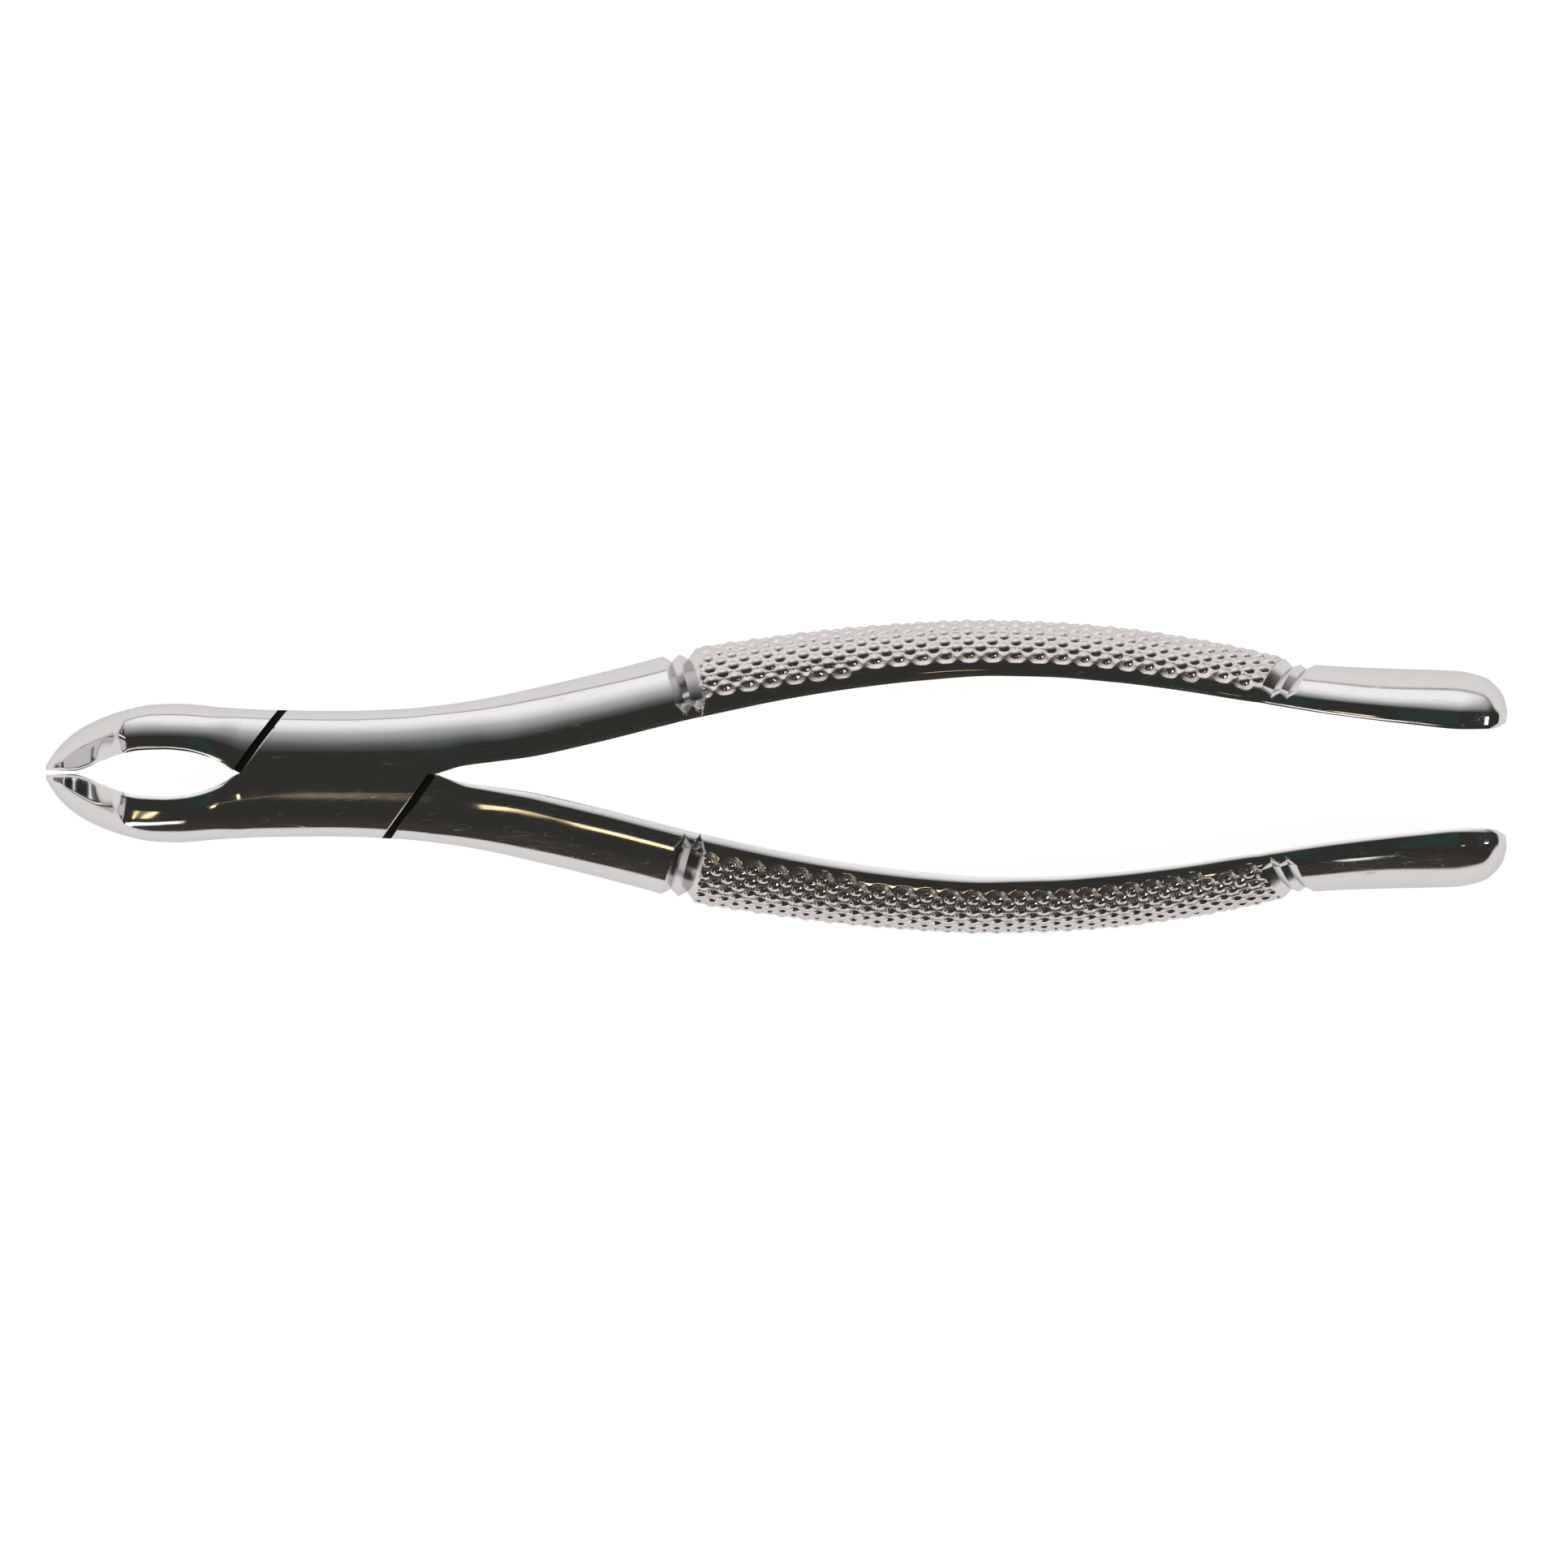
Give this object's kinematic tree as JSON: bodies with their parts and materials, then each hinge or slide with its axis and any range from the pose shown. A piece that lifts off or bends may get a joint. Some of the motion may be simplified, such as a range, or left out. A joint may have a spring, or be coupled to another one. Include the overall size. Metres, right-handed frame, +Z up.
{
  "type": "extraction forceps",
  "caption": "Dental extraction forceps: slim pointed beaks bent to one side, a lap joint with a flush slotted pivot screw, and bowed knurled handles.",
  "frame": {"origin": "middle of the footprint of the closed forceps, on the surface that they lie on", "axes": "+X along the forceps from the beaks to the handle ends, +Y across them towards the front half's handle, +Z up along the pivot, towards the side without a screw head"},
  "size_m": [0.178, 0.0384, 0.017],
  "materials": {
    "polished_steel": "mirror-polished stainless steel with fine handling scratches",
    "screw_steel": "turned stainless steel with a milled slot"
  },
  "bodies": {
    "front": {"front_half": "polished_steel", "pivot_screw": "screw_steel"},
    "back": {"back_half": "polished_steel"}
  },
  "joints": [
    {"name": "pivot", "type": "hinge", "parent": "front", "child": "back", "pos_m": [-0.05335, 0, 0.0106], "axis": [0, 0, -1], "range_deg": [-0.5, 40]}
  ]
}
